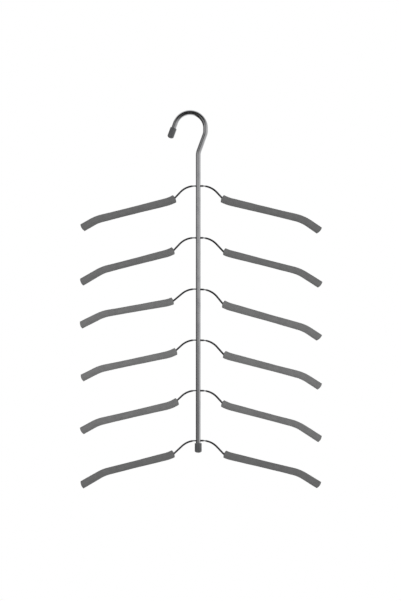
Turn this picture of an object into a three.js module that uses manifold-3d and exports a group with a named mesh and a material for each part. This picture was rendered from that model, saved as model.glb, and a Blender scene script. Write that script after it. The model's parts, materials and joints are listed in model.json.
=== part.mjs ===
// A tiered hanger for six shirts. One steel tube is bent into the hook and the post, six spring
// wires pass through holes drilled across the post, and each wire carries two foam sleeves.
// Millimetres, +Z up, +X to the right of someone facing the front, which looks along +Y.
// The origin is the hook's seat: the point inside the top of the hook that rests on the rail.

import * as THREE from 'three';
import { mergeVertices } from 'three/addons/utils/BufferGeometryUtils.js';
import Module from 'manifold-3d';

const wasm = await Module();
wasm.setup();

const { degToRad } = THREE.MathUtils;

// Driving dimensions of the hook and the post
const tubeDiameter = 8;
const tubeWall = 0.8;
const hookRadius = 25; // to the middle of the tube
const hookLean = degToRad(20); // both legs of the hook lean this far from upright
const freeLegLength = 24; // from the end of the round part to the cut end of the tube
const limbLength = 4.7; // upright stretch between the round part and the heel
const heelRadius = 18; // the bend where the hook turns back towards the post
const postOffset = 13.2; // the post stands this far to the right of the seat
const neckRadius = 24; // the bend where the leaning leg turns into the upright post

// Driving dimensions of the tiers
const topTierDrop = 115; // from the seat down to the hole of the top wire
const tierCount = 6;
const topPitch = 84; // between the first hole and the second
const pitchLoss = 0.75; // each pitch down the post is shorter than the last by this
const postBelowHole = 17.6; // from the lowest hole to the cut end of the post

// Driving dimensions of a wire, from the middle of its hole outwards
const wireDiameter = 3.2;
const holeClearance = 0.5; // all round the wire
const crownFlat = 6.5; // straight stretch to each side of the post's axis
const crownRadius = 32;
const crownSlope = degToRad(46.3);
const shoulderOffset = 42.1; // from the post's axis to the corner of the shoulder bend
const shoulderRadius = 10;
const armSlope = degToRad(13.7);
const elbowRadius = 66;
const tipOffset = 30.7; // level distance from the corner of the elbow to the sleeve's end
const leftArm = { reach: 188.8, tipSlope: degToRad(29.4) };
const rightArm = { reach: 197, tipSlope: degToRad(31.6) };

// How the six wires differ, top to bottom, as bent and as they lie in their holes
const tierTilts = [-0.3, 0, 3.1, 1.5, 0.7, -0.3].map(degToRad); // right arm down
const tierDroops = [0.7, 0.8, -0.6, -0.3, 0.4, 0.2].map(degToRad); // both arms down
const wirePlay = 1; // a wire has slid through its hole by up to this
const slideShares = [0, -0.3, 1, 0.9, 0.8, 0.4]; // to the right
const elbowScatter = 5; // an elbow is bent about this far from its place, level
const leftElbowShares = [1.2, -0.7, -1.1, 0.1, 0.9, -0.9]; // outwards
const rightElbowShares = [0.1, -0.6, 1.4, 0.5, -1.2, -0.8];

// Driving dimensions of a foam sleeve
const sleeveDiameter = 12;
const sleeveClearance = 0.3; // between the foam and the wire
const curlOffset = 54; // level, from the post's axis to where the foam starts to curl up
const curlRadius = 64; // foam is springy and bends more gently than the wire inside it
const curlLength = 15.5; // from there to the cut face at the shoulder
const sleeveSlip = 5; // sleeves have been pushed along the wire by about this
const leftSlipShares = [-0.3, 0.1, 0.6, -0.6, -1.1, 0.3]; // outwards
const rightSlipShares = [-0.2, 0.7, 0.1, 0.3, -0.4, 0.4];
const foamPastWire = 6; // the foam runs on past the cut end of the wire
const boreEntry = 34; // along the wire, to where the cut for a sleeve's bore starts
const boreExit = 2; // the cut for the bore runs this far past the sleeve's end

// Driving dimensions of the two push-on caps
const capClearance = 0.3; // between a cap and the tube, at the side and the end
const capFloor = 1.4;
const capDome = 0.4; // the end of a cap stands out this far in the middle
const tipCap = { diameter: 10.3, length: 16.6, round: 2.8, lip: 0.7 };
const postCap = { diameter: 11.4, length: 15.3, round: 1.9, lip: 0.6 };

// How finely round shapes are cut into flats
const bendStep = degToRad(7.5);
const wireBendStep = degToRad(9);
const tubeSides = 20;
const boreSides = 14;
const wireSides = 8;
const sleeveSides = 14;
const sleeveBoreSides = 8;
const capSides = 24;
const cornerSteps = 4;

const chrome = new THREE.MeshStandardMaterial({ color: 0xd9dadb, roughness: 0.12, metalness: 1 });
const foam = new THREE.MeshStandardMaterial({ color: 0x6d6d6c, roughness: 0.95, metalness: 0 });
const vinyl = new THREE.MeshStandardMaterial({ color: 0x555657, roughness: 0.5, metalness: 0 });

const tubeRadius = tubeDiameter / 2;
const wireRadius = wireDiameter / 2;

// A path is a list of moves in the upright plane: a straight run, or a bend with a radius and a
// turn. A turn is positive where the path turns from +X towards +Z.
const run = (length) => ({ length });
const bend = (radius, turn) => ({ radius, turn, length: radius * Math.abs(turn) });

// Where a share of a move leads from a place, with the heading there
function along(place, move, share) {
  const { x, z, heading } = place;
  if (!move.turn) {
    const far = move.length * share;
    return { x: x + far * Math.cos(heading), z: z + far * Math.sin(heading), heading };
  }
  const radius = move.radius * Math.sign(move.turn);
  const turned = heading + move.turn * share;
  return {
    x: x + radius * (Math.sin(turned) - Math.sin(heading)),
    z: z - radius * (Math.cos(turned) - Math.cos(heading)),
    heading: turned,
  };
}

const endOf = (start, moves) => moves.reduce((place, move) => along(place, move, 1), start);
const lengthOf = (moves) => moves.reduce((sum, move) => sum + move.length, 0);

// The stretch of a path between two lengths along it
function stretch(path, from, to) {
  const moves = [];
  let { start } = path;
  let place = path.start;
  let passed = 0;
  for (const move of path.moves) {
    const low = Math.max(from - passed, 0);
    const high = Math.min(to - passed, move.length);
    if (high > low) {
      if (moves.length === 0) {
        start = along(place, move, low / move.length);
      }
      const kept = high - low;
      moves.push(move.turn ? bend(move.radius, (move.turn * kept) / move.length) : run(kept));
    }
    place = along(place, move, 1);
    passed += move.length;
  }
  return { start, moves };
}

// The path as a curve for an extrusion: one step for each run, and even steps round each bend
class BentPath extends THREE.Curve {
  constructor(path, step) {
    super();
    this.stations = [];
    let place = path.start;
    for (const move of path.moves) {
      const steps = move.turn ? Math.ceil(Math.abs(move.turn) / step) : 1;
      for (let n = 0; n < steps; n++) {
        this.stations.push(along(place, move, n / steps));
      }
      place = along(place, move, 1);
    }
    this.stations.push(place);
    this.steps = this.stations.length - 1;
  }

  station(t) {
    return this.stations[Math.round(t * this.steps)];
  }

  getPoint(t, target = new THREE.Vector3()) {
    const { x, z } = this.station(t);
    return target.set(x, 0, z);
  }

  getTangent(t, target = new THREE.Vector3()) {
    const { heading } = this.station(t);
    return target.set(Math.cos(heading), 0, Math.sin(heading));
  }

  getUtoTmapping(u) {
    return u;
  }
}

function circle(path, radius, sides) {
  const corners = Array.from({ length: sides }, (_, n) => {
    const angle = (2 * Math.PI * (n + 1 / 2)) / sides;
    return new THREE.Vector2(radius * Math.cos(angle), radius * Math.sin(angle));
  });
  return path.setFromPoints(corners);
}

// A round bar, or a tube where a bore is given, swept along a path
function sweep(path, step, radius, sides, boreRadius, boreFlats) {
  const section = circle(new THREE.Shape(), radius, sides);
  if (boreRadius) {
    section.holes.push(circle(new THREE.Path(), boreRadius, boreFlats));
  }
  const extrudePath = new BentPath(path, step);
  return new THREE.ExtrudeGeometry(section, { steps: extrudePath.steps, extrudePath });
}

function solidOf(geometry) {
  const bare = geometry.clone();
  bare.deleteAttribute('normal');
  bare.deleteAttribute('uv');
  const merged = mergeVertices(bare);
  return new wasm.Manifold(
    new wasm.Mesh({
      numProp: 3,
      vertProperties: merged.attributes.position.array,
      triVerts: Uint32Array.from(merged.index.array),
    }),
  );
}

function geometryOf(solid) {
  const { vertProperties, triVerts } = solid.getMesh();
  const geometry = new THREE.BufferGeometry();
  geometry.setAttribute('position', new THREE.BufferAttribute(vertProperties, 3));
  geometry.setIndex(new THREE.BufferAttribute(triVerts, 1));
  const faceted = geometry.toNonIndexed();
  faceted.computeVertexNormals();
  return faceted;
}

function mesh(name, geometry, material) {
  const made = new THREE.Mesh(geometry, material);
  made.name = name;
  return made;
}

// The hook and post: the free leg, the round part over the rail, the upright limb, the heel, the
// leaning leg, the neck and the post
const tierDrops = Array.from(
  { length: tierCount },
  (_, n) => topTierDrop + n * topPitch - (pitchLoss * n * (n - 1)) / 2,
);
const postEndDrop = tierDrops.at(-1) + postBelowHole;
const hookCentreDrop = hookRadius - tubeRadius;
const neckTangent = neckRadius * Math.tan(hookLean / 2);
const heelInset = heelRadius * (1 - Math.cos(hookLean));
const leaningLegLength = (hookRadius - heelInset - postOffset) / Math.sin(hookLean);
const heelDrop = hookCentreDrop + limbLength + heelRadius * Math.sin(hookLean);
const neckDrop = heelDrop + leaningLegLength * Math.cos(hookLean);

const freeEnd = {
  x: -hookRadius * Math.cos(hookLean) - freeLegLength * Math.sin(hookLean),
  z: -hookCentreDrop + hookRadius * Math.sin(hookLean) - freeLegLength * Math.cos(hookLean),
  heading: Math.PI / 2 - hookLean,
};
const tubePath = {
  start: freeEnd,
  moves: [
    run(freeLegLength),
    bend(hookRadius, hookLean - Math.PI),
    run(limbLength),
    bend(heelRadius, -hookLean),
    run(leaningLegLength - neckTangent),
    bend(neckRadius, hookLean),
    run(postEndDrop - neckDrop - neckTangent),
  ],
};

// Holes are drilled right across the post, level and square to it
function drill(drop) {
  const radius = wireRadius + holeClearance;
  const bit = new THREE.CylinderGeometry(radius, radius, 2 * tubeDiameter, boreSides);
  bit.rotateZ(Math.PI / 2);
  bit.translate(postOffset, 0, -drop);
  return solidOf(bit);
}

function hookAndPost() {
  const bore = tubeRadius - tubeWall;
  let tube = solidOf(sweep(tubePath, bendStep, tubeRadius, tubeSides, bore, boreSides));
  for (const drop of tierDrops) {
    tube = tube.subtract(drill(drop));
  }
  return mesh('hook_post', geometryOf(tube), chrome);
}

// A push-on cap: a cup with a rounded, slightly domed end, closed end at the bottom
function capGeometry({ diameter, length, round, lip }) {
  const radius = diameter / 2;
  const bore = tubeRadius + capClearance;
  const profile = [new THREE.Vector2(0, -capDome)];
  for (let n = 0; n <= cornerSteps; n++) {
    const angle = (Math.PI / 2) * (n / cornerSteps);
    const x = radius - round + round * Math.sin(angle);
    profile.push(new THREE.Vector2(x, round - round * Math.cos(angle)));
  }
  profile.push(new THREE.Vector2(radius, length - lip));
  profile.push(new THREE.Vector2(radius - lip, length));
  profile.push(new THREE.Vector2(bore, length));
  profile.push(new THREE.Vector2(bore, capFloor));
  profile.push(new THREE.Vector2(0, capFloor));
  const geometry = new THREE.LatheGeometry(profile, capSides);
  geometry.rotateX(Math.PI / 2);
  return geometry;
}

// A cap's own origin is on its end, and the tube's cut end stands on its floor with a clearance
function capOn(name, size, x, z, lean) {
  const cap = mesh(name, capGeometry(size), vinyl);
  const past = capFloor + capClearance;
  cap.position.set(x - past * Math.sin(lean), 0, z - past * Math.cos(lean));
  cap.rotation.y = lean;
  return cap;
}

// One arm's centre line, from the middle of the hole to the sleeve's end, going right
function armMoves({ reach, tipSlope }, droop, elbowShift) {
  const slope = armSlope + droop;
  const tip = tipSlope + droop;
  const crownEnd = crownFlat + crownRadius * Math.sin(crownSlope);
  const shoulderTangent = shoulderRadius * Math.tan((crownSlope - slope) / 2);
  const elbowTangent = elbowRadius * Math.tan((tip - slope) / 2);
  const tipLevel = tipOffset - elbowShift;
  const armLevel = reach - tipLevel - shoulderOffset;
  return [
    run(crownFlat),
    bend(crownRadius, -crownSlope),
    run((shoulderOffset - crownEnd) / Math.cos(crownSlope) - shoulderTangent),
    bend(shoulderRadius, crownSlope - slope),
    run(armLevel / Math.cos(slope) - shoulderTangent - elbowTangent),
    bend(elbowRadius, slope - tip),
    run(tipLevel / Math.cos(tip) - elbowTangent),
  ];
}

// A path as it is in a mirror that stands across X
const mirrored = ({ start: { x, z, heading }, moves }) => ({
  start: { x: -x, z, heading: Math.PI - heading },
  moves: moves.map((move) => (move.turn ? bend(move.radius, -move.turn) : move)),
});

// A sleeve, from its arm's moves, which go right, and what puts a path on the sleeve's own side.
// Its centre line is the wire's as far as the curl, and its bore is cut along the wire all the way.
function sleeveGeometry(moves, slope, slip, onSide) {
  const arm = { start: { x: 0, z: 0, heading: 0 }, moves };
  const whole = lengthOf(moves);
  const toArm = moves.slice(0, moves.length - 3); // as far as the end of the shoulder bend
  const pastShoulder = curlOffset - endOf(arm.start, toArm).x;
  const rest = stretch(arm, lengthOf(toArm) + pastShoulder / Math.cos(slope), whole);
  const curl = bend(curlRadius, (curlLength - slip) / curlRadius);
  const body = { start: along(rest.start, curl, -1), moves: [curl, ...rest.moves] };
  const longer = { start: arm.start, moves: [...moves, run(boreExit)] };
  const bore = stretch(longer, boreEntry, whole + boreExit);
  const foamSolid = solidOf(sweep(onSide(body), wireBendStep, sleeveDiameter / 2, sleeveSides));
  const boreRadius = wireRadius + sleeveClearance;
  const cutter = solidOf(sweep(onSide(bore), wireBendStep, boreRadius, sleeveBoreSides));
  return geometryOf(foamSolid.subtract(cutter));
}

// A tier: the wire and its two sleeves, about the middle of the hole that the wire passes through
function tier(n) {
  const number = n + 1;
  const droop = tierDroops[n];
  const left = armMoves(leftArm, droop, elbowScatter * leftElbowShares[n]);
  const right = armMoves(rightArm, droop, elbowScatter * rightElbowShares[n]);
  const leftEnd = endOf({ x: 0, z: 0, heading: 0 }, left);
  const path = {
    start: { x: -leftEnd.x, z: leftEnd.z, heading: -leftEnd.heading },
    moves: [...left.toReversed(), ...right],
  };
  const wire = stretch(path, foamPastWire, lengthOf(path.moves) - foamPastWire);

  const assembled = new THREE.Group();
  const wireGeometry = sweep(wire, wireBendStep, wireRadius, wireSides);
  assembled.add(mesh(`arm_wire_${number}`, wireGeometry, chrome));
  const sleeves = [
    ['left', left, leftSlipShares[n], mirrored],
    ['right', right, rightSlipShares[n], (asItIs) => asItIs],
  ];
  for (const [side, moves, slipShare, onSide] of sleeves) {
    const geometry = sleeveGeometry(moves, armSlope + droop, sleeveSlip * slipShare, onSide);
    assembled.add(mesh(`foam_sleeve_${number}_${side}`, geometry, foam));
  }
  const slide = wirePlay * slideShares[n];
  const tilt = tierTilts[n];
  const fall = slide * Math.sin(tilt);
  assembled.position.set(postOffset + slide * Math.cos(tilt), 0, -tierDrops[n] - fall);
  assembled.rotation.y = tilt;
  return assembled;
}

const hanger = new THREE.Group();
hanger.name = 'shirt_hanger';
hanger.add(hookAndPost());
hanger.add(capOn('hook_tip_cap', tipCap, freeEnd.x, freeEnd.z, hookLean));
hanger.add(capOn('post_end_cap', postCap, postOffset, -postEndDrop, 0));
for (let n = 0; n < tierCount; n++) {
  hanger.add(tier(n));
}

export default hanger;
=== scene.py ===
import json
import math

import bpy
import numpy as np
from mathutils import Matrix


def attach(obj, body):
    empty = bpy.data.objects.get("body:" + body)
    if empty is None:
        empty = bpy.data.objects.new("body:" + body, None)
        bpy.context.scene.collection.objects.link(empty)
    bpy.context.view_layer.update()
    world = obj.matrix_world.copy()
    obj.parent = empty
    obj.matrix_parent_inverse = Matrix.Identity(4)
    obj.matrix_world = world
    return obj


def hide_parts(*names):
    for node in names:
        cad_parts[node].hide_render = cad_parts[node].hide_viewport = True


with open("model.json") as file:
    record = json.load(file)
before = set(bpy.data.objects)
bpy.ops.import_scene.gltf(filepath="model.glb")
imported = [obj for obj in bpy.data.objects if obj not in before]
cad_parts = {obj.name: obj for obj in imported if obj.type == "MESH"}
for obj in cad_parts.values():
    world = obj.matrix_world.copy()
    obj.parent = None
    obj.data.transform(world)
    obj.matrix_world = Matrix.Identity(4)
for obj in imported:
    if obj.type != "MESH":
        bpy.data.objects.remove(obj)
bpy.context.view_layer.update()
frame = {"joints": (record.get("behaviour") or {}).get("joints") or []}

# The camera
# A long lens looks squarely at the front of the hanger, level with the middle of the picture.
# One picture element is PIXEL_SIZE at the hanger, and the seat of the hook is at SEAT_PIXEL.
MM = 0.001
PICTURE_PIXELS = (401, 601)
SEAT_PIXEL = (190.09, 115.04)
PIXEL_SIZE = 1.62 * MM
SENSOR_WIDTH = 36
LENS = 100
FAR_CLIP = 60

camera_data = bpy.data.cameras.new("camera")
camera_data.sensor_width = SENSOR_WIDTH
camera_data.lens = LENS
camera_data.clip_end = FAR_CLIP
camera = bpy.data.objects.new("camera", camera_data)
camera.location = (
    (PICTURE_PIXELS[0] / 2 - SEAT_PIXEL[0]) * PIXEL_SIZE,
    -PICTURE_PIXELS[1] * PIXEL_SIZE * LENS / SENSOR_WIDTH,
    (SEAT_PIXEL[1] - PICTURE_PIXELS[1] / 2) * PIXEL_SIZE,
)
camera.rotation_euler = (math.pi / 2, 0, 0)
bpy.context.scene.collection.objects.link(camera)
bpy.context.scene.camera = camera
bpy.context.scene.view_settings.view_transform = "Standard"

# The studio
# A plain white room lights the foam evenly. Bright metal mirrors a white backdrop, which a black flag
# hides on the left, and pale walls beside it, dimmer low in front, between a dark floor and ceiling.
# Limits named slopes are those of the height of a direction over how far it goes aside.
ROOM_LIGHT = 0.86
DARK = 0.02
WALL_LIGHT = 0.6
WALL_FOOT_SLOPES = (-1.3, 0.0)
WALL_TOP_SLOPES = (0.12, 1.08)
LEFT_WALL_END = 0.19
LEFT_WALL_FADE = (-0.85, -0.55)
FRONT_SHADE = 0.49
FRONT_SHADE_TOP = (-0.07, 0.06)
FRONT_SHADE_REACH = (0.49, 0.62)
BACKDROP_LIGHT = 0.88
BACKDROP_FADE = (-0.7, 0.56)
FLAG_COVER = 0.92
FLAG_FOOT_SLOPES = (-2.9, -1.03)
FLAG_TOP_SLOPES = (0.35, 0.79)
FLAG_EDGE = (-0.1, 0.0)
LEAST_ASIDE = 0.02
FLOOR_LEVEL = -0.95
FLOOR_HALF = 12
FLOOR_COLOUR = 0.9
SHADOW_REACH = (0.3, 0.85)
LAMP_AIM = (0.015, 0.0, -0.35)
KEY_LAMP = {"place": (1.3, -1.9, 0.9), "size": 1.2, "power": 9}
FILL_LAMP = {"place": (-1.6, -1.7, -0.2), "size": 1.4, "power": 5}


def node(tree, kind, **settings):
    """A new shader node. A setting that starts with in_ fills an input by its name or number."""
    made = tree.nodes.new(kind)
    for key, value in settings.items():
        if not key.startswith("in_"):
            setattr(made, key, value)
            continue
        label = key[3:]
        socket = made.inputs[int(label)] if label.isdigit() else made.inputs[label.replace("_", " ")]
        if isinstance(value, bpy.types.NodeSocket):
            tree.links.new(value, socket)
        else:
            socket.default_value = value
    return made


def maths(tree, operation, *values):
    """The result of one Math node on values or sockets."""
    inputs = {f"in_{n}": value for n, value in enumerate(values)}
    return node(tree, "ShaderNodeMath", operation=operation, **inputs).outputs[0]


def ramp(tree, value, low, high, from_value=0.0, to_value=1.0):
    """A smooth step from one value to another as the input goes from low to high."""
    inputs = {"in_0": value, "in_1": low, "in_2": high, "in_3": from_value, "in_4": to_value}
    return node(tree, "ShaderNodeMapRange", interpolation_type="SMOOTHSTEP", **inputs).outputs[0]


world = bpy.data.worlds.new("studio")
bpy.context.scene.world = world
world.use_nodes = True
sky = world.node_tree
sky.nodes.clear()
toward = node(sky, "ShaderNodeTexCoord").outputs["Generated"]
across, away, up = node(sky, "ShaderNodeSeparateXYZ", in_0=toward).outputs
aside = maths(sky, "MAXIMUM", maths(sky, "ABSOLUTE", across), LEAST_ASIDE)
slope = maths(sky, "DIVIDE", up, aside)
wall_foot = ramp(sky, slope, *WALL_FOOT_SLOPES)
wall_height = maths(sky, "MULTIPLY", wall_foot, ramp(sky, slope, *WALL_TOP_SLOPES, 1.0, 0.0))
wall_level = ramp(sky, across, *LEFT_WALL_FADE, LEFT_WALL_END, WALL_LIGHT)
wall_light = maths(sky, "MULTIPLY", wall_height, wall_level)
low_shade = ramp(sky, up, *FRONT_SHADE_TOP, FRONT_SHADE, 0.0)
front_shade = maths(sky, "MULTIPLY", low_shade, ramp(sky, across, *FRONT_SHADE_REACH, 1.0, 0.0))
walls = maths(sky, "MULTIPLY", wall_light, maths(sky, "SUBTRACT", 1.0, front_shade))
flag_foot = ramp(sky, slope, *FLAG_FOOT_SLOPES)
flag_height = maths(sky, "MULTIPLY", flag_foot, ramp(sky, slope, *FLAG_TOP_SLOPES, 1.0, 0.0))
flag = maths(sky, "MULTIPLY", flag_height, ramp(sky, across, *FLAG_EDGE, FLAG_COVER, 0.0))
backdrop_light = ramp(sky, away, *BACKDROP_FADE, 0.0, BACKDROP_LIGHT)
backdrop = maths(sky, "MULTIPLY", backdrop_light, maths(sky, "SUBTRACT", 1.0, flag))
room = maths(sky, "MAXIMUM", DARK, maths(sky, "MAXIMUM", walls, backdrop))
seen = node(sky, "ShaderNodeLightPath").outputs
white = node(sky, "ShaderNodeBackground", in_Strength=1.0, in_Color=(1, 1, 1, 1)).outputs[0]
even = node(sky, "ShaderNodeBackground", in_Strength=ROOM_LIGHT, in_Color=(1, 1, 1, 1)).outputs[0]
mirrored = node(sky, "ShaderNodeBackground", in_Strength=room, in_Color=(1, 1, 1, 1)).outputs[0]
lit = node(sky, "ShaderNodeMixShader", in_0=seen["Is Glossy Ray"], in_1=even, in_2=mirrored).outputs[0]
looking = maths(sky, "MAXIMUM", seen["Is Camera Ray"], seen["Is Transmission Ray"])
shown = node(sky, "ShaderNodeMixShader", in_0=looking, in_1=lit, in_2=white).outputs[0]
node(sky, "ShaderNodeOutputWorld", in_Surface=shown)

floor_mesh = bpy.data.meshes.new("floor")
floor_corners = [(-1, -1), (1, -1), (1, 1), (-1, 1)]
floor_points = [(x * FLOOR_HALF, y * FLOOR_HALF, FLOOR_LEVEL) for x, y in floor_corners]
floor_mesh.from_pydata(floor_points, [], [(0, 1, 2, 3)])
floor = bpy.data.objects.new("floor", floor_mesh)
bpy.context.scene.collection.objects.link(floor)
floor.visible_glossy = False

floor_paint = bpy.data.materials.new("floor_paint")
floor_paint.use_nodes = True
tree = floor_paint.node_tree
tree.nodes.clear()
floor_place = node(tree, "ShaderNodeTexCoord").outputs["Object"]
x, y, _ = node(tree, "ShaderNodeSeparateXYZ", in_0=floor_place).outputs
squares = maths(tree, "ADD", maths(tree, "MULTIPLY", x, x), maths(tree, "MULTIPLY", y, y))
far = ramp(tree, maths(tree, "SQRT", squares), *SHADOW_REACH)
pale = node(tree, "ShaderNodeBsdfDiffuse", in_Color=(FLOOR_COLOUR,) * 3 + (1,)).outputs[0]
glow = node(tree, "ShaderNodeEmission", in_Color=(1, 1, 1, 1), in_Strength=1.0).outputs[0]
seen_far = maths(tree, "MULTIPLY", far, node(tree, "ShaderNodeLightPath").outputs["Is Camera Ray"])
above = node(tree, "ShaderNodeMixShader", in_0=seen_far, in_1=pale, in_2=glow).outputs[0]
from_below = node(tree, "ShaderNodeNewGeometry").outputs["Backfacing"]
clear = node(tree, "ShaderNodeBsdfTransparent").outputs[0]
floor_surface = node(tree, "ShaderNodeMixShader", in_0=from_below, in_1=above, in_2=clear).outputs[0]
node(tree, "ShaderNodeOutputMaterial", in_Surface=floor_surface)
floor_mesh.materials.append(floor_paint)


def lamp(name, aim, place, size, power):
    """A soft square lamp at a place, turned to face another, which bright metal doesn't mirror."""
    data = bpy.data.lights.new(name, "AREA")
    data.size = size
    data.energy = power
    made = bpy.data.objects.new(name, data)
    made.location = place
    right, ahead, rise = np.subtract(aim, place)
    made.rotation_euler = (math.atan2(math.hypot(right, ahead), -rise), 0, math.atan2(-right, ahead))
    made.visible_glossy = False
    bpy.context.scene.collection.objects.link(made)


lamp("key_lamp", LAMP_AIM, **KEY_LAMP)
lamp("fill_lamp", LAMP_AIM, **FILL_LAMP)

# The hook and post
# One chromed steel tube, bent round for the hook, back at the heel and down at the neck as the post,
# where column 0 of its section faces +X. A hole with an eased edge is drilled across it for each
# wire. Its cut ends are in caps.
TUBE_RADIUS = 4.0 * MM
TUBE_WALL = 0.8 * MM
HOOK_RADIUS = 25 * MM
HOOK_LEAN = math.radians(20)
FREE_LEG = 24 * MM
LIMB = 4.7 * MM
HEEL_RADIUS = 18 * MM
NECK_RADIUS = 24.0 * MM
POST_BELOW_HOLE = 17.6 * MM
WIRE_RADIUS = 1.6 * MM
HOLE_CLEARANCE = 0.5 * MM
HOLE_RADIUS = WIRE_RADIUS + HOLE_CLEARANCE
HOLE_EDGE = 0.15 * MM
HOLE_EDGE_SHARE = 0.3
GAP_SHARES = (0.25, 0.5, 0.75)
INSIDE_SHARE = 0.5
TUBE_COLUMNS = 96
GAP_ROWS = 12
GAP_COLUMNS = 24
GAP_HALF = 2.8 * MM
FINE_BEND = math.radians(3)
SHARP_ANGLE = math.radians(40)
CHROME = (0.64, 0.64, 0.65, 1)
CHROME_HAZE = (0.58, 0.58, 0.6, 1)
CHROME_POLISH = {"roughness": 0.08, "haze": 0.08, "lines": 0.6}
HAZE_NOISE = (70, 3)
HAZE_LIMITS = (0.42, 0.72)
LINE_SCALES = (2600, 2600, 45)
LINE_NOISE = (1, 2)
LINE_DEPTH = 0.02 * MM
LINE_STRENGTH = 0.2

swings = sorted(frame["joints"], key=lambda joint: -joint["pos_m"][2])
HOLES = [np.array(joint["pos_m"]) for joint in swings]
POST_X = HOLES[0][0]


def bend(radius, turn):
    """The length and turn of a bend, where a positive turn goes from +X towards +Z."""
    return abs(radius * turn), turn


def run(length):
    """The length and turn of a straight run."""
    return length, 0.0


def bent_path(moves, heading, start):
    """The centre line of a bent bar, in the upright plane y = 0.

    The heading grows evenly with length along each move, so a move's chord is its length times the
    sinc of half its turn, and points along its middle heading."""
    lengths, turns = np.array(moves, float).T
    headings = heading + np.concatenate([[0.0], np.cumsum(turns)])
    chord = lengths * np.sinc(turns / math.tau)
    middle = headings[:-1] + turns / 2
    return {
        "distance": np.concatenate([[0.0], np.cumsum(lengths)]),
        "heading": headings,
        "x": start[0] + np.concatenate([[0.0], np.cumsum(chord * np.cos(middle))]),
        "z": start[1] + np.concatenate([[0.0], np.cumsum(chord * np.sin(middle))]),
    }


def on_path(path, distance):
    """Places and headings at distances along a path, by the same chord from the start of each move."""
    distance = np.asarray(distance, float)
    move = np.searchsorted(path["distance"], distance, side="right") - 1
    move = np.clip(move, 0, len(path["distance"]) - 2)
    heading = np.interp(distance, path["distance"], path["heading"])
    turn = heading - path["heading"][move]
    chord = (distance - path["distance"][move]) * np.sinc(turn / math.tau)
    middle = path["heading"][move] + turn / 2
    return path["x"][move] + chord * np.cos(middle), path["z"][move] + chord * np.sin(middle), heading


def stations(path, step, extra=()):
    """Distances along a path: even steps of turn round its bends, the ends of its runs, and extras."""
    found = [np.ravel(extra)]
    moves = zip(path["distance"], path["distance"][1:], np.diff(path["heading"]))
    for low, high, turn in moves:
        found.append(np.linspace(low, high, max(1, math.ceil(abs(turn) / step)) + 1))
    return np.unique(np.round(np.concatenate(found), 7))


def around(columns):
    """Even angles round a section."""
    return np.linspace(0, math.tau, columns, endpoint=False)


def carried(path, distance, radius, angle, depth=None):
    """The surface of a round or oval profile carried along a path. At each distance and angle it is
    the place on the path, plus the radius times cos(angle) to the path's left, plus the depth, or the
    radius where none is given, times sin(angle) along Y."""
    distance = np.asarray(distance, float).reshape(len(distance), -1)
    radius = np.asarray(radius, float).reshape(len(distance), -1)
    depth = radius if depth is None else np.asarray(depth, float).reshape(len(distance), -1)
    x, z, heading = on_path(path, distance)
    aside = radius * np.cos(angle)
    along_y = np.broadcast_to(depth * np.sin(angle), aside.shape)
    parts = [x - aside * np.sin(heading), along_y, z + aside * np.cos(heading)]
    return np.stack(parts, axis=-1).reshape(-1, 3)


def straightened(distance, radius, angle):
    """Where each point of a carried profile would be if its path were straight, for patterns that
    follow the bends: radius times cos(angle) and sin(angle), and the distance."""
    distance = np.asarray(distance, float).reshape(len(distance), -1)
    radius = np.asarray(radius, float).reshape(len(distance), -1)
    aside = radius * np.cos(angle)
    parts = np.broadcast_arrays(aside, radius * np.sin(angle), distance)
    return np.stack(parts, axis=-1).reshape(-1, 3)


def grid_quads(rows, columns, closed):
    """The quads of a grid of points that wraps across its columns, and across its rows if closed."""
    first_rows = np.arange(rows if closed else rows - 1)
    row, column = np.meshgrid(first_rows, np.arange(columns), indexing="ij")
    beside, beyond = (column + 1) % columns, (row + 1) % rows
    corners = [(row, column), (row, beside), (beyond, beside), (beyond, column)]
    ids = [at_row * columns + at_column for at_row, at_column in corners]
    return np.stack(ids, axis=-1).reshape(-1, 4)


def piece(name, points, quads, triangles, material, **attributes):
    """A smooth mesh object from whole arrays, with its faces turned outwards: where the signed volume
    comes out negative, every face is turned over. Unused points are left out."""
    quads = np.asarray(quads, int).reshape(-1, 4)
    triangles = np.asarray(triangles, int).reshape(-1, 3)
    halves = np.concatenate([quads[:, [0, 1, 2]], quads[:, [0, 2, 3]], triangles])
    a, b, c = (points[halves[:, n]] for n in range(3))
    if np.einsum("ij,ij->i", a, np.cross(b, c)).sum() < 0:
        quads, triangles = quads[:, ::-1], triangles[:, ::-1]
    used, corners = np.unique(np.concatenate([quads.ravel(), triangles.ravel()]), return_inverse=True)
    sizes = np.repeat([4, 3], [len(quads), len(triangles)])
    mesh = bpy.data.meshes.new(name)
    mesh.vertices.add(len(used))
    mesh.vertices.foreach_set("co", points[used].astype(np.float32).ravel())
    mesh.loops.add(len(corners))
    mesh.loops.foreach_set("vertex_index", corners.astype(np.int32))
    mesh.polygons.add(len(sizes))
    mesh.polygons.foreach_set("loop_start", (np.cumsum(sizes) - sizes).astype(np.int32))
    mesh.polygons.foreach_set("use_smooth", np.ones(len(sizes), bool))
    mesh.update(calc_edges=True)
    mesh.set_sharp_from_angle(angle=SHARP_ANGLE)
    for label, values in attributes.items():
        kind, key = ("FLOAT_VECTOR", "vector") if values.ndim == 2 else ("FLOAT", "value")
        attribute = mesh.attributes.new(label, kind, "POINT")
        attribute.data.foreach_set(key, values[used].astype(np.float32).ravel())
    mesh.materials.append(material)
    made = bpy.data.objects.new(name, mesh)
    bpy.context.scene.collection.objects.link(made)
    return made


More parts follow.
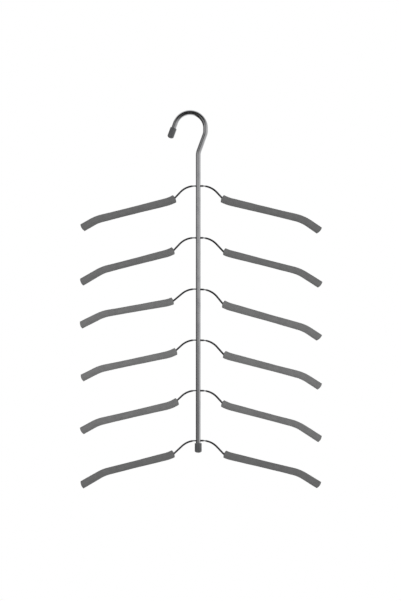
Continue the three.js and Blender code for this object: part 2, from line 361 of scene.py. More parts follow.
def new_group(label, inputs, outputs):
    """An empty shader node group with named sockets, and what comes in through them."""
    group = bpy.data.node_groups.new(label, "ShaderNodeTree")
    for name, value in inputs.items():
        kind = "NodeSocketVector" if value is None else "NodeSocketFloat"
        socket = group.interface.new_socket(name, in_out="INPUT", socket_type=kind)
        if value is not None:
            socket.default_value = value
    for name in outputs:
        group.interface.new_socket(name, in_out="OUTPUT", socket_type="NodeSocketFloat")
    return group, node(group, "NodeGroupInput").outputs


def noise(tree, place, scale, detail):
    """Soft noise from 0 to 1 over a place, at a scale, with as many finer layers as its detail."""
    inputs = {"in_Vector": place, "in_Scale": scale, "in_Detail": detail}
    return node(tree, "ShaderNodeTexNoise", **inputs).outputs[0]


def scaled(tree, place, scales):
    """A place stretched by its own scale along each axis."""
    return node(tree, "ShaderNodeMapping", in_Vector=place, in_Scale=scales).outputs[0]


# What keeps polished metal from being a perfect mirror: broad haze, and fine lines along the bar.
polish_inputs = {"Place": None, "Roughness": 0.1, "Haze": 0.05, "Lines": 0.5}
polish, given = new_group("Polish marks", polish_inputs, ("Haze", "Roughness", "Height"))
haze = ramp(polish, noise(polish, given["Place"], *HAZE_NOISE), *HAZE_LIMITS)
hazed = maths(polish, "MULTIPLY", haze, given["Haze"])
lines = noise(polish, scaled(polish, given["Place"], LINE_SCALES), *LINE_NOISE)
node(
    polish,
    "NodeGroupOutput",
    in_Haze=haze,
    in_Roughness=maths(polish, "ADD", given["Roughness"], hazed),
    in_Height=maths(polish, "MULTIPLY", lines, given["Lines"]),
)


def blended(tree, mask, colour, other):
    """A colour that goes over to another where a mask rises."""
    made = node(tree, "ShaderNodeMix", data_type="RGBA", in_0=mask)
    made.inputs[6].default_value = colour
    made.inputs[7].default_value = other
    return made.outputs[2]


def relief(tree, height, strength, depth):
    """The normals of a surface raised by a height from 0 to 1 times a depth, at some strength."""
    inputs = {"in_Strength": strength, "in_Distance": depth, "in_Height": height}
    return node(tree, "ShaderNodeBump", **inputs).outputs[0]


def new_material(name, roughness=0.5):
    """A new material, with its tree and its surface shader."""
    material = bpy.data.materials.new(name)
    material.use_nodes = True
    shader = material.node_tree.nodes["Principled BSDF"]
    shader.inputs["Roughness"].default_value = roughness
    return material, material.node_tree, shader


def polished_metal(name, colour, haze_colour, roughness, haze, lines):
    """Polished metal: a mirror dulled by the polish marks, in its colour, roughness and bump."""
    material, tree, shader = new_material(name)
    shader.inputs["Metallic"].default_value = 1.0
    place = node(tree, "ShaderNodeAttribute", attribute_name="straightened").outputs["Vector"]
    amounts = {"in_Roughness": roughness, "in_Haze": haze, "in_Lines": lines}
    marks = node(tree, "ShaderNodeGroup", node_tree=polish, in_Place=place, **amounts).outputs
    height = relief(tree, marks["Height"], LINE_STRENGTH, LINE_DEPTH)
    tree.links.new(blended(tree, marks["Haze"], colour, haze_colour), shader.inputs["Base Color"])
    tree.links.new(marks["Roughness"], shader.inputs["Roughness"])
    tree.links.new(height, shader.inputs["Normal"])
    return material


def drilled(points, hole, side, outer_rim, inner_rim):
    """The skin of one drilled hole, as rings of points. Each ring goes a share of the way from the
    square gap's rim to a circle about the hole, and lies on a cylinder about the post's axis: x is the
    root of the cylinder's radius squared less y squared."""
    edge = HOLE_EDGE * HOLE_EDGE_SHARE
    inside = TUBE_RADIUS - TUBE_WALL
    rings = []
    for rim, share, radius, wall in (
        *((outer_rim, share, HOLE_RADIUS + HOLE_EDGE, TUBE_RADIUS) for share in (*GAP_SHARES, 1)),
        (outer_rim, 1, HOLE_RADIUS + edge, TUBE_RADIUS - edge),
        (outer_rim, 1, HOLE_RADIUS, TUBE_RADIUS - HOLE_EDGE),
        (inner_rim, 1, HOLE_RADIUS, inside),
        (inner_rim, INSIDE_SHARE, HOLE_RADIUS, inside),
    ):
        _, y, z = (points[rim] - hole).T
        turn = np.arctan2(z, y)
        y = (1 - share) * y + share * radius * np.cos(turn)
        z = (1 - share) * z + share * radius * np.sin(turn)
        rings.append(np.stack([side * np.sqrt(wall**2 - y**2), y, z], axis=-1) + hole)
    return rings


heel_inset = HEEL_RADIUS * (1 - math.cos(HOOK_LEAN))
leaning_leg = (HOOK_RADIUS - heel_inset - POST_X) / math.sin(HOOK_LEAN)
neck_tangent = NECK_RADIUS * math.tan(HOOK_LEAN / 2)
hook_drop = HOOK_RADIUS - TUBE_RADIUS
heel_drop = hook_drop + LIMB + HEEL_RADIUS * math.sin(HOOK_LEAN)
neck_drop = heel_drop + leaning_leg * math.cos(HOOK_LEAN)
post_end = -HOLES[-1][2] + POST_BELOW_HOLE
free_end = (
    -HOOK_RADIUS * math.cos(HOOK_LEAN) - FREE_LEG * math.sin(HOOK_LEAN),
    -hook_drop + HOOK_RADIUS * math.sin(HOOK_LEAN) - FREE_LEG * math.cos(HOOK_LEAN),
)
tube_moves = [
    run(FREE_LEG),
    bend(HOOK_RADIUS, HOOK_LEAN - math.pi),
    run(LIMB),
    bend(HEEL_RADIUS, -HOOK_LEAN),
    run(leaning_leg - neck_tangent),
    bend(NECK_RADIUS, HOOK_LEAN),
    run(post_end - neck_drop - neck_tangent),
]
tube_path = bent_path(tube_moves, math.pi / 2 - HOOK_LEAN, free_end)
hole_distances = [tube_path["distance"][-1] - post_end - hole[2] for hole in HOLES]
gap_lines = np.linspace(-GAP_HALF, GAP_HALF, GAP_ROWS + 1)
skin_rows = stations(tube_path, FINE_BEND, np.add.outer(hole_distances, gap_lines))
tube_distances = np.concatenate([skin_rows, skin_rows[::-1]])
tube_radii = np.repeat([TUBE_RADIUS, TUBE_RADIUS - TUBE_WALL], len(skin_rows))
columns = around(TUBE_COLUMNS)
tube_points = [carried(tube_path, tube_distances, tube_radii, columns)]
tube_places = [straightened(tube_distances, tube_radii, columns)]
tube_quads = grid_quads(len(tube_distances), TUBE_COLUMNS, closed=True)
quad_row, quad_column = np.divmod(np.arange(len(tube_quads)), TUBE_COLUMNS)
skin = np.ones(len(tube_quads), bool)
hole_quads = []
last_row = len(tube_distances) - 1
edge_rows = np.concatenate(
    [
        np.arange(GAP_ROWS),
        np.full(GAP_COLUMNS, GAP_ROWS),
        np.arange(GAP_ROWS, 0, -1),
        np.zeros(GAP_COLUMNS, int),
    ]
)
edge_columns = np.concatenate(
    [
        np.zeros(GAP_ROWS, int),
        np.arange(GAP_COLUMNS),
        np.full(GAP_ROWS, GAP_COLUMNS),
        np.arange(GAP_COLUMNS, 0, -1),
    ]
)
for hole, distance in zip(HOLES, hole_distances):
    first = int(np.argmin(np.abs(skin_rows - distance + GAP_HALF)))
    for side, middle_column in ((1, 0), (-1, TUBE_COLUMNS // 2)):
        gap_column = (quad_column - middle_column + GAP_COLUMNS // 2) % TUBE_COLUMNS
        for start in (first, last_row - first - GAP_ROWS):
            skin &= (gap_column >= GAP_COLUMNS) | (quad_row < start) | (quad_row >= start + GAP_ROWS)
        rim_columns = (edge_columns + middle_column - GAP_COLUMNS // 2) % TUBE_COLUMNS
        outer_rim = (first + edge_rows) * TUBE_COLUMNS + rim_columns
        inner_rim = (last_row - first - edge_rows) * TUBE_COLUMNS + rim_columns
        rings = drilled(tube_points[0], hole, side, outer_rim, inner_rim)
        added = sum(len(points) for points in tube_points)
        ring_ids = [added + n * len(outer_rim) + np.arange(len(outer_rim)) for n in range(len(rings))]
        for near, far in zip([outer_rim, *ring_ids], [*ring_ids, inner_rim]):
            hole_quads.append(np.stack([near, np.roll(near, -1), np.roll(far, -1), far], axis=-1))
        tube_points.extend(rings)
        tube_places.extend((ring - hole) * [1, 1, -1] + [0, 0, distance] for ring in rings)
hook_post = piece(
    "hook_and_post",
    np.concatenate(tube_points),
    np.concatenate([tube_quads[skin], *hole_quads]),
    [],
    polished_metal("bright_chrome", CHROME, CHROME_HAZE, **CHROME_POLISH),
    straightened=np.concatenate(tube_places),
)
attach(hook_post, "post")
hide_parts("hook_post")

# The push-on caps
# A soft vinyl cup is pushed on each cut end of the tube: a narrow one on the tip of the hook, and
# a wider one at the foot of the post. Their closed ends are rounded to half an ellipse.
TIP_CAP = {
    "diameter": 10.6 * MM,
    "length": 17.6 * MM,
    "rounding": 3.4 * MM,
    "floor": 2.4 * MM,
    "lip": 0.7 * MM,
}
FOOT_CAP = {
    "diameter": 11.4 * MM,
    "length": 15.75 * MM,
    "rounding": 3.15 * MM,
    "floor": 1.85 * MM,
    "lip": 0.6 * MM,
}
CAP_MOUTH_SHARE = 0.25
CAP_GRIP = 0.05 * MM
CAP_CLEARANCE = 0.3 * MM
CAP_COLUMNS = 72
CAP_END_STEPS = 20
LIP_STEPS = 8
VINYL = (0.072, 0.073, 0.076, 1)
VINYL_WORN = (0.094, 0.095, 0.097, 1)
VINYL_SHEEN = 1.0
VINYL_WEAR_NOISE = (160, 4)
VINYL_WEAR_LIMITS = (0.4, 0.75)
VINYL_GLOSS_LIMITS = (0.3, 0.8)
VINYL_ROUGHNESS = (0.3, 0.2)
VINYL_GRAIN_NOISE = (3200, 2)
VINYL_GRAIN_DEPTH = 0.05 * MM
VINYL_GRAIN_STRENGTH = 0.35


def bar_faces(rows, columns):
    """The faces of a carried profile whose two ends are closed by fans to the two points after it."""
    column = np.arange(columns)
    beside = (column + 1) % columns
    points = rows * columns
    last = points - columns
    first_fan = np.stack([np.full(columns, points), beside, column], axis=-1)
    last_fan = np.stack([np.full(columns, points + 1), last + column, last + beside], axis=-1)
    return grid_quads(rows, columns, closed=False), np.concatenate([first_fan, last_fan])


def bar_piece(name, path, distance, radius, columns, material, depth=None):
    """A solid from a profile carried along a path, with a pole in the middle of each end."""
    angle = around(columns)
    ends = np.asarray(distance)[[0, -1]]
    skin = carried(path, distance, radius, angle, depth)
    skin_places = straightened(distance, radius, angle)
    points = np.concatenate([skin, carried(path, ends, np.zeros(2), angle[:1])])
    places = np.concatenate([skin_places, straightened(ends, np.zeros(2), angle[:1])])
    return piece(name, points, *bar_faces(len(distance), columns), material, straightened=places)


def cap_profile(diameter, length, rounding, floor, lip):
    """Distances from the closed end, and radii, of a cap: half an ellipse, the side, a round lip, then
    the bore and its floor."""
    outside = diameter / 2
    grip = TUBE_RADIUS + CAP_GRIP
    turn = np.linspace(0, math.pi / 2, CAP_END_STEPS + 1)[1:]
    lip_turn = np.linspace(0, math.pi / 2, LIP_STEPS)
    distance = [rounding * (1 - np.cos(turn)), length - lip + lip * np.sin(lip_turn)]
    radius = [outside * np.sin(turn), outside - lip + lip * np.cos(lip_turn)]
    distance.append([length, length - lip, floor + lip, floor, floor])
    radius.append([grip + lip * CAP_MOUTH_SHARE, grip, grip, grip - lip, lip])
    return np.concatenate(distance), np.concatenate(radius)


def moulded_vinyl(name):
    """Soft moulded vinyl: satin, with a fine grain, paler and glossier where it has been handled."""
    material, tree, shader = new_material(name)
    shader.inputs["Specular IOR Level"].default_value = VINYL_SHEEN
    place = node(tree, "ShaderNodeAttribute", attribute_name="straightened").outputs["Vector"]
    handled = noise(tree, place, *VINYL_WEAR_NOISE)
    worn = ramp(tree, handled, *VINYL_WEAR_LIMITS)
    grain_height = noise(tree, place, *VINYL_GRAIN_NOISE)
    grain = relief(tree, grain_height, VINYL_GRAIN_STRENGTH, VINYL_GRAIN_DEPTH)
    roughness = ramp(tree, handled, *VINYL_GLOSS_LIMITS, *VINYL_ROUGHNESS)
    tree.links.new(blended(tree, worn, VINYL, VINYL_WORN), shader.inputs["Base Color"])
    tree.links.new(roughness, shader.inputs["Roughness"])
    tree.links.new(grain, shader.inputs["Normal"])
    return material


vinyl = moulded_vinyl("satin_vinyl")
for name, replaced, tube_end, heading, cap_sizes in (
    ("hook_tip_cap_moulded", "hook_tip_cap", free_end, math.pi / 2 - HOOK_LEAN, TIP_CAP),
    ("post_foot_cap_moulded", "post_end_cap", (POST_X, -post_end), math.pi / 2, FOOT_CAP),
):
    past = cap_sizes["floor"] + CAP_CLEARANCE
    cap_start = (tube_end[0] - past * math.cos(heading), tube_end[1] - past * math.sin(heading))
    cap_path = bent_path([run(cap_sizes["length"])], heading, cap_start)
    cap = bar_piece(name, cap_path, *cap_profile(**cap_sizes), CAP_COLUMNS, vinyl)
    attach(cap, "post")
    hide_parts(replaced)

# The arm wires
# Each is one bright spring wire that runs from arm to arm through its hole: a crown over the post,
# a shoulder bend and an elbow on each side, no two bent quite alike. It tilts with its joint's axis.
# On both sides of the post it is pinched from above and below, too wide to pull through the hole.
CROWN_FLAT = 6.5 * MM
CROWN_RADIUS = 32 * MM
CROWN_SCATTER = 1 * MM
CROWN_SHARES = {"left": [-0.5, 0.2, -1.4, -1, -1.3, -1.6], "right": [0, 0, 0, 0, 0, 0]}
SHOULDER_OFFSET = 42.1 * MM
SHOULDER_DROP = 22.93 * MM
SHOULDER_SCATTER = 0.5 * MM
SHOULDER_SHARES = {"left": [1.1, 0, -0.5, 0, 0.7, -0.2], "right": [1, 0.7, 0.9, 0.5, 0.3, 0.4]}
SHOULDER_RADIUS = 10 * MM
ARM_SLOPE = math.radians(13.7)
ELBOW_RADIUS = 66 * MM
TIP_OFFSET = 30.7 * MM
ARMS = {"left": (188.8 * MM, math.radians(29.4)), "right": (197 * MM, math.radians(31.6))}
DROOP_SCATTER = math.radians(1)
DROOP_SHARES = {"left": [0.1, 0.8, -0.6, -0.3, 0.1, 0.2], "right": [0.15, 0.65, -0.95, -0.55, 0.4, 0.2]}
WIRE_PLAY = 1 * MM
SLIDE_SHARES = [0, -0.3, 1, 0.9, 0.8, 0.4]
ELBOW_SCATTER = 5 * MM
ELBOW_SHARES = {"left": [1.35, -0.7, -1.1, 0.1, 0.9, -0.9], "right": [0.6, -0.5, 1.6, 0.65, -1.2, -0.8]}
TIP_TURN = math.radians(1)
TIP_TURN_SHARES = {"left": [0, 0, 0.8, -0.8, 0, 0], "right": [3, 0, 0, 0, 0, 0]}
FOAM_PAST_WIRE = 6 * MM
WIRE_EDGE = 0.25 * MM
WIRE_COLUMNS = 28
PINCH_PLACES = np.array([-7.1, 9.9]) * MM
PINCH_HALVES = np.array([2.7, 1.8]) * MM
PINCH_SHARES = (0.25, 0.32)
PINCH_SPREAD = 1.3
PINCH_STEP = 0.3 * MM
PINCH_REACH = 1.6
CUT_STEPS = 5
SPRING_STEEL = (0.34, 0.34, 0.35, 1)
SPRING_STEEL_HAZE = (0.27, 0.27, 0.28, 1)
SPRING_STEEL_POLISH = {"roughness": 0.1, "haze": 0.1, "lines": 1.0}


def arm_moves(n, side_name):
    """One arm's moves, from the middle of the hole outwards and to the right. The crown falls away at
    the slope of the straight run that leaves its bend and meets the shoulder's corner. With the corner
    at some distance from the bend's centre, at an angle from straight up, that slope is the angle less
    the one whose cosine is the bend's radius over the distance. Each bend's tangent is its radius
    times the tangent of half its turn, and is taken off the runs beside it."""
    reach, tip_slope = ARMS[side_name]
    droop = DROOP_SCATTER * DROOP_SHARES[side_name][n]
    slope = ARM_SLOPE + droop
    tip = tip_slope + droop + TIP_TURN * TIP_TURN_SHARES[side_name][n]
    crown_flat = CROWN_FLAT + CROWN_SCATTER * CROWN_SHARES[side_name][n]
    elbow_shift = ELBOW_SCATTER * ELBOW_SHARES[side_name][n]
    across = SHOULDER_OFFSET - crown_flat
    above = CROWN_RADIUS - SHOULDER_DROP - SHOULDER_SCATTER * SHOULDER_SHARES[side_name][n]
    crown_slope = math.atan2(across, above) - math.acos(CROWN_RADIUS / math.hypot(across, above))
    crown_end = crown_flat + CROWN_RADIUS * math.sin(crown_slope)
    shoulder_tangent = SHOULDER_RADIUS * math.tan((crown_slope - slope) / 2)
    elbow_tangent = ELBOW_RADIUS * math.tan((tip - slope) / 2)
    tip_level = TIP_OFFSET - elbow_shift
    arm_level = reach - tip_level - SHOULDER_OFFSET
    return [
        run(crown_flat),
        bend(CROWN_RADIUS, -crown_slope),
        run((SHOULDER_OFFSET - crown_end) / math.cos(crown_slope) - shoulder_tangent),
        bend(SHOULDER_RADIUS, crown_slope - slope),
        run(arm_level / math.cos(slope) - shoulder_tangent - elbow_tangent),
        bend(ELBOW_RADIUS, slope - tip),
        run(tip_level / math.cos(tip) - elbow_tangent),
    ]


def on_tier(n, moves, heading, start, side=1):
    """A path on a tier, from its moves, heading and start about the middle of the hole, mirrored left
    for right where side is -1. The tier is turned by its joint's tilt, and slid through its hole."""
    axis_x, _, axis_z = swings[n]["axis"]
    tilt = math.atan2(-axis_z, axis_x)
    x, z = side * start[0] + WIRE_PLAY * SLIDE_SHARES[n], start[1]
    place = (
        HOLES[n][0] + x * math.cos(tilt) + z * math.sin(tilt),
        HOLES[n][2] - x * math.sin(tilt) + z * math.cos(tilt),
    )
    if side > 0:
        return bent_path(moves, heading - tilt, place)
    return bent_path([(length, -turn) for length, turn in moves], math.pi - heading - tilt, place)


def cut_bar(rows, start, end, radius, edge):
    """Distances and radii of a bar's skin between two square cuts, with each cut's edge rounded."""
    turn = np.linspace(0, math.pi / 2, CUT_STEPS)
    rounding = edge * (1 - np.cos(turn))
    rim = radius - edge * (1 - np.sin(turn))
    between = rows[(rows > start + 2 * edge) & (rows < end - 2 * edge)]
    distance = np.concatenate([start + rounding, between, end - rounding[::-1]])
    return distance, np.concatenate([rim, np.full(len(between), radius), rim[::-1]])


wire_steel = polished_metal("spring_steel", SPRING_STEEL, SPRING_STEEL_HAZE, **SPRING_STEEL_POLISH)
arms = []
for n in range(len(HOLES)):
    left, right = arm_moves(n, "left"), arm_moves(n, "right")
    arms.append((left, right))
    mirrored_left = bent_path(left, 0.0, (0.0, 0.0))
    start = (-mirrored_left["x"][-1], mirrored_left["z"][-1])
    path = on_tier(n, left[::-1] + right, -mirrored_left["heading"][-1], start)
    middle = mirrored_left["distance"][-1]
    near_post = middle + np.arange(PINCH_PLACES[0], PINCH_PLACES[1], PINCH_STEP) * PINCH_REACH
    rows = stations(path, FINE_BEND, near_post)
    distance, radius = cut_bar(rows, FOAM_PAST_WIRE, rows[-1] - FOAM_PAST_WIRE, WIRE_RADIUS, WIRE_EDGE)
    from_pinches = np.subtract.outer(distance - middle, PINCH_PLACES) / PINCH_HALVES
    pinch = np.exp(-(from_pinches**4)) @ PINCH_SHARES
    depth = radius * (1 + PINCH_SPREAD * pinch)
    radius = radius * (1 - pinch)
    wire = bar_piece(f"spring_wire_{n + 1}", path, distance, radius, WIRE_COLUMNS, wire_steel, depth)
    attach(wire, f"tier_{n + 1}")
    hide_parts(f"arm_wire_{n + 1}")

# The foam sleeves
# A length of grey foam rubber tube is pushed over each arm, from the shoulder bend to just past the
# wire's end. It curls up towards the shoulder, but less than its wire, which leaves through the upper
# half of the cut face. The foam is fuller towards its ends, and its domed cuts are a little askew.
SLEEVE_RADIUS = 6 * MM
SLEEVE_EDGE = 0.7 * MM
FACE_DOME = 1.2 * MM
SLEEVE_GRIP = 0.03 * MM
BORE_FLARE = 0.35 * MM
CURL_OFFSET = 54 * MM
CURL_RADIUS = 64 * MM
CURL_LENGTH = 15.5 * MM
SLEEVE_SLIP = 5 * MM
SLIP_SHARES = {"left": [-0.3, 0.1, 0.4, -0.7, -1.2, 0.25], "right": [-0.2, 0.6, 0.3, 0.5, -0.2, 0.6]}
TIP_SLIP = 2 * MM
TIP_SLIP_SHARES = {"left": [-0.4, 0, -0.7, -0.7, 0, 0.3], "right": [-0.6, 0.6, 1.3, 0.6, 0.3, -1.2]}
TIP_SKEW = math.tan(math.radians(5))
TIP_SKEW_SHARES = {"left": [0.6, -1, -1.6, -0.7, 0.5, -1.6], "right": [1.3, 1.1, 2.3, 0.9, -0.5, 0.9]}
FULLNESS = 0.3 * MM
FULLNESS_SHARES = {"left": [1, -0.1, -0.6, -0.8, 0, 0.3], "right": [0.7, -0.6, 0.5, 0, -1, 0]}
END_SWELL = 0.25 * MM
WAIST = 0.5 * MM
SLEEVE_COLUMNS = 56
SLEEVE_STEP = 0.9 * MM
BORE_MOUTH = 0.9 * MM
SWELL_LENGTHS = np.array([58, 37, 23, 14]) * MM
SWELL_DEPTHS = np.array([0.05, 0.05, 0.035, 0.02]) * MM
SWELL_LOBES = np.array([2, 1, 3, 2])
CREASE_LENGTH = 3.4 * MM
CREASE_DEPTH = 0.09 * MM
CREASE_WANDER = 0.6
WANDER_LENGTH = 5.3 * MM
NEAR_SKEW = math.tan(math.radians(4.5))
NEAR_SKEW_SHARES = (0.6, 1.4)
CUT_SKEW = math.tan(math.radians(1.6))
SKEW_REACH = 12 * MM
BORE_SEARCH = (25 * MM, 75 * MM)
SEARCH_STEPS = 201
FACE_SHARES = (0.25, 0.6, 0.9)
FOAM_GREY = 0.154
# Each tier's foam grey is scaled by a share of painted light: tiers three to five lighter, the top and
# bottom tiers darker.
FOAM_PAINTED_LIGHT_SHARES = [0.88, 0.95, 1.08, 1.13, 1.08, 0.87]
FOAM_PALE_SHARES = (1.12, 1.12, 1.115)
FOAM_DEEP_SHARES = (0.88, 0.88, 0.885)
FOAM_ROUGHNESS = 0.93
FOAM_SHEEN = 0.3
FOAM_SEED = 61
FOAM_RELIEF_DEPTH = 0.12 * MM
FOAM_RELIEF_STRENGTH = 0.5
FOAM_SHADE_LIMITS = (0.25, 0.75)
MOTTLE_NOISE = (140, 5)
MOTTLE_SHARE = 0.6
DRAG_SCALES = (700, 700, 40)
DRAG_NOISE = (1, 3)
PORE_SCALE = 2100
PORE_LIMITS = (0.05, 0.35)
PORE_SHARE = 0.35
CELL_SCALE = 1300
CELL_LIMITS = (0.1, 0.5)
CELL_RELIEF_SHARE = 2.5


def bubbles(tree, place, scale, limits):
    """The walls between bubbles of foam: they rise with the distance from the nearest middle."""
    middles = node(tree, "ShaderNodeTexVoronoi", in_Vector=place, in_Scale=scale).outputs["Distance"]
    return ramp(tree, middles, *limits)


# The skin of foam rubber: soft mottling, faint lengthwise drag marks, fine pores, and open cells
# where it is cut, with painted shade darkening the cells' hollows.
foam_skin, given = new_group("Foam skin", {"Place": None, "Cut": 0.0}, ("Shade", "Height"))
mottle = noise(foam_skin, given["Place"], *MOTTLE_NOISE)
drag = noise(foam_skin, scaled(foam_skin, given["Place"], DRAG_SCALES), *DRAG_NOISE)
drag_shade = maths(foam_skin, "MULTIPLY", drag, 1 - MOTTLE_SHARE)
skin_shade = maths(foam_skin, "MULTIPLY_ADD", mottle, MOTTLE_SHARE, drag_shade)
pores = bubbles(foam_skin, given["Place"], PORE_SCALE, PORE_LIMITS)
cells = bubbles(foam_skin, given["Place"], CELL_SCALE, CELL_LIMITS)
# On cut faces the colour follows the cells' relief: painted shade in their hollows.
cell_hollow_shade = maths(foam_skin, "SUBTRACT", cells, skin_shade)
cut_painted_shade = maths(foam_skin, "MULTIPLY", cell_hollow_shade, given["Cut"])
skin_height = maths(foam_skin, "MULTIPLY_ADD", pores, PORE_SHARE, skin_shade)
cell_relief = maths(foam_skin, "MULTIPLY", given["Cut"], CELL_RELIEF_SHARE)
node(
    foam_skin,
    "NodeGroupOutput",
    in_Shade=maths(foam_skin, "ADD", skin_shade, cut_painted_shade),
    in_Height=maths(foam_skin, "MULTIPLY_ADD", cells, cell_relief, skin_height),
)


def foam_rubber(name, grey):
    """Matt foam rubber of one grey, which carries its tier's painted light, paler and darker by the
    foam skin's shade, with painted shade in the cells' hollows where it is cut.
    """
    material, tree, shader = new_material(name, FOAM_ROUGHNESS)
    shader.inputs["Specular IOR Level"].default_value = FOAM_SHEEN
    place = node(tree, "ShaderNodeAttribute", attribute_name="straightened").outputs["Vector"]
    cut = node(tree, "ShaderNodeAttribute", attribute_name="cut").outputs["Fac"]
    skin_marks = node(tree, "ShaderNodeGroup", node_tree=foam_skin, in_Place=place, in_Cut=cut).outputs
    pale = [grey * share for share in FOAM_PALE_SHARES] + [1]
    deep = [grey * share for share in FOAM_DEEP_SHARES] + [1]
    shade = ramp(tree, skin_marks["Shade"], *FOAM_SHADE_LIMITS)
    height = relief(tree, skin_marks["Height"], FOAM_RELIEF_STRENGTH, FOAM_RELIEF_DEPTH)
    tree.links.new(blended(tree, shade, deep, pale), shader.inputs["Base Color"])
    tree.links.new(height, shader.inputs["Normal"])
    return material


def sleeve_paths(n, side, moves, slip, tip_slip):
    """A sleeve's own centre line, outwards from its cut face at the shoulder, and its arm's wire. The
    curl ends on the arm's straight run with the run's heading, so it starts one chord back, and the
    chord is the curl's length times the sinc of half its turn."""
    arm = bent_path(moves, 0.0, (0.0, 0.0))
    length, turn = CURL_LENGTH - slip, (CURL_LENGTH - slip) / CURL_RADIUS
    shoulder_end = len(moves) - 3
    past = (CURL_OFFSET - arm["x"][shoulder_end]) / math.cos(arm["heading"][shoulder_end])
    x, z, heading = on_path(arm, arm["distance"][shoulder_end] + past)
    chord = length * np.sinc(turn / math.tau)
    start = (x - chord * math.cos(heading - turn / 2), z - chord * math.sin(heading - turn / 2))
    last = run(moves[-1][0] + tip_slip)
    body = [(length, turn), run(moves[shoulder_end][0] - past), *moves[shoulder_end + 1 : -1], last]
    return on_tier(n, body, heading - turn, start, side), on_tier(n, moves, 0.0, (0.0, 0.0), side)


def dome(radius, rim):
    """How far a face bulges at a radius from its middle: it falls off as the square of the radius."""
    return FACE_DOME * np.clip(1 - (radius / rim) ** 2, 0, 1)


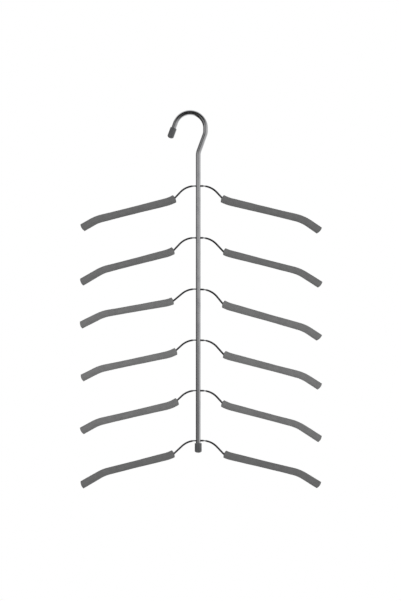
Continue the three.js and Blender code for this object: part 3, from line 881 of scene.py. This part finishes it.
def sleeve(name, body, wire, side, tip_slip, tip_skew, fullness, material, random):
    """A foam tube: one closed grid of rings, out along the skin, in across the far face, back along
    the bore, which follows the wire, and out again across the near face.

    The skin's radius grows towards the ends, is least in the middle, dips by a sum of waves in
    distance and angle, and by soft creases on the inside of a bend, as deep as the bend is tight. A
    face leans: it is shifted along the path by the radius times a slope across and one along Y."""
    angle = around(SLEEVE_COLUMNS)
    length = body["distance"][-1]
    rows = np.arange(0, length, SLEEVE_STEP)
    distance, radius = cut_bar(rows, 0.0, length, SLEEVE_RADIUS + fullness + END_SWELL, SLEEVE_EDGE)

    phases = random.uniform(0, math.tau, (2, len(SWELL_LENGTHS)))
    waves = np.multiply.outer(distance, math.tau / SWELL_LENGTHS) + phases[0]
    lobes = np.multiply.outer(angle, SWELL_LOBES) + phases[1]
    swell = np.einsum("k,rk,ck->rc", SWELL_DEPTHS, 1 + np.sin(waves), 1 + np.cos(lobes)) / 2
    curl = np.gradient(on_path(body, distance)[2], distance)[:, None] * ELBOW_RADIUS
    inside = np.clip(curl * np.cos(angle), 0, 1) ** 2
    wander = CREASE_WANDER * np.sin(distance / WANDER_LENGTH + phases[0, 0])
    ripple = (1 - np.cos(math.tau * distance / CREASE_LENGTH + wander))[:, None] / 2
    waist = WAIST * np.sin(math.pi * distance / length)[:, None] ** 2
    uneven = radius[:, None] - waist - swell - CREASE_DEPTH * inside * ripple

    near_across = side * NEAR_SKEW * random.uniform(*NEAR_SKEW_SHARES)
    near_y, far_y = CUT_SKEW * random.uniform(-1, 1, 2)
    far_across = -side * tip_skew
    near_lean = near_across * np.cos(angle) + near_y * np.sin(angle)
    far_lean = far_across * np.cos(angle) + far_y * np.sin(angle)
    near_share = np.clip(1 - distance / SKEW_REACH, 0, 1)[:, None]
    far_share = np.clip(1 - (length - distance) / SKEW_REACH, 0, 1)[:, None]
    placed = distance[:, None] - uneven * (near_share * near_lean + far_share * far_lean)
    skin = carried(body, placed, uneven, angle)
    skin_places = straightened(placed, uneven, angle)

    bore = WIRE_RADIUS + SLEEVE_GRIP
    mouth = bore + BORE_FLARE
    far_radii = uneven[-1] + np.array(FACE_SHARES + (1,))[:, None] * (mouth - uneven[-1])
    far_distance = length + dome(far_radii, uneven[-1]) - far_radii * far_lean
    far_face = carried(body, far_distance, far_radii, angle)
    far_places = straightened(far_distance, far_radii, angle)

    start_x, start_z, heading = (float(value) for value in on_path(body, 0.0))
    start = np.array([start_x, 0.0, start_z])
    ahead = np.array([math.cos(heading), 0.0, math.sin(heading)])
    aside = np.array([-math.sin(heading), 0.0, math.cos(heading)])
    across_face = np.stack([aside, [0.0, 1.0, 0.0]])
    near_rim = float(uneven[0].mean())

    def near_level(places):
        """How far along the sleeve its near face is at places across it: its lean's slopes times the
        place and its dome, both taken off."""
        return -places @ (near_across, near_y) - dome(np.hypot(*places.T), near_rim)

    searched = np.linspace(*BORE_SEARCH, SEARCH_STEPS)
    searched_points = carried(wire, searched, np.full(len(searched), mouth), angle) - start
    past_face = searched_points @ ahead - near_level(searched_points @ across_face.T)
    past_face = past_face.reshape(len(searched), -1)
    entry = np.array([np.interp(0.0, column, searched) for column in past_face.T])
    wire_rows = stations(wire, FINE_BEND)
    wire_end = wire_rows[-1] + tip_slip
    inner = (wire_rows > entry.max() + 2 * BORE_MOUTH) & (wire_rows < wire_end - 2 * BORE_MOUTH)
    inner_rows = np.repeat(wire_rows[inner][::-1, None], len(angle), 1)
    outer_row = np.full((1, len(angle)), wire_end - BORE_MOUTH)
    bore_distance = np.concatenate([outer_row, inner_rows, [entry + BORE_MOUTH]])
    bore_skin = carried(wire, bore_distance, np.full(len(bore_distance), bore), angle)
    near_mouth = carried(wire, entry[None], np.full(1, mouth), angle)
    to_rim = skin[: len(angle)] - near_mouth
    near_flat = np.concatenate([near_mouth + share * to_rim for share in (0, *FACE_SHARES)])
    near_across_face = (near_flat - start) @ across_face.T
    near_places = np.column_stack([near_across_face, near_level(near_across_face)])
    near_face = start + near_places @ np.stack([*across_face, ahead])

    parts = [skin, far_face, bore_skin, near_face]
    skin_cut = np.zeros((len(distance), len(angle)))
    skin_cut[[0, -1]] = 1
    cut = [skin_cut.ravel(), np.ones(len(far_face)), np.zeros(len(bore_skin)), np.ones(len(near_face))]
    bore_places = straightened(bore_distance, np.full(len(bore_distance), bore), angle)
    rings = sum(len(part) for part in parts) // len(angle)
    return piece(
        name,
        np.concatenate(parts),
        grid_quads(rings, len(angle), closed=True),
        [],
        material,
        straightened=np.concatenate([skin_places, far_places, bore_places, near_places]),
        cut=np.concatenate(cut),
    )


random = np.random.default_rng(FOAM_SEED)
for n, (left, right) in enumerate(arms):
    # The same foam grey, painted lighter or darker per tier as painted light.
    foam = foam_rubber(f"grey_foam_painted_light_{n + 1}", FOAM_GREY * FOAM_PAINTED_LIGHT_SHARES[n])
    for label, side, moves in (("left", -1, left), ("right", 1, right)):
        slip = SLEEVE_SLIP * SLIP_SHARES[label][n]
        tip_slip = TIP_SLIP * TIP_SLIP_SHARES[label][n]
        tip_skew = TIP_SKEW * TIP_SKEW_SHARES[label][n]
        fullness = FULLNESS * FULLNESS_SHARES[label][n]
        paths = sleeve_paths(n, side, moves, slip, tip_slip)
        name = f"foam_tube_{n + 1}_{label}"
        tube = sleeve(name, *paths, side, tip_slip, tip_skew, fullness, foam, random)
        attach(tube, f"tier_{n + 1}")
        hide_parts(f"foam_sleeve_{n + 1}_{label}")
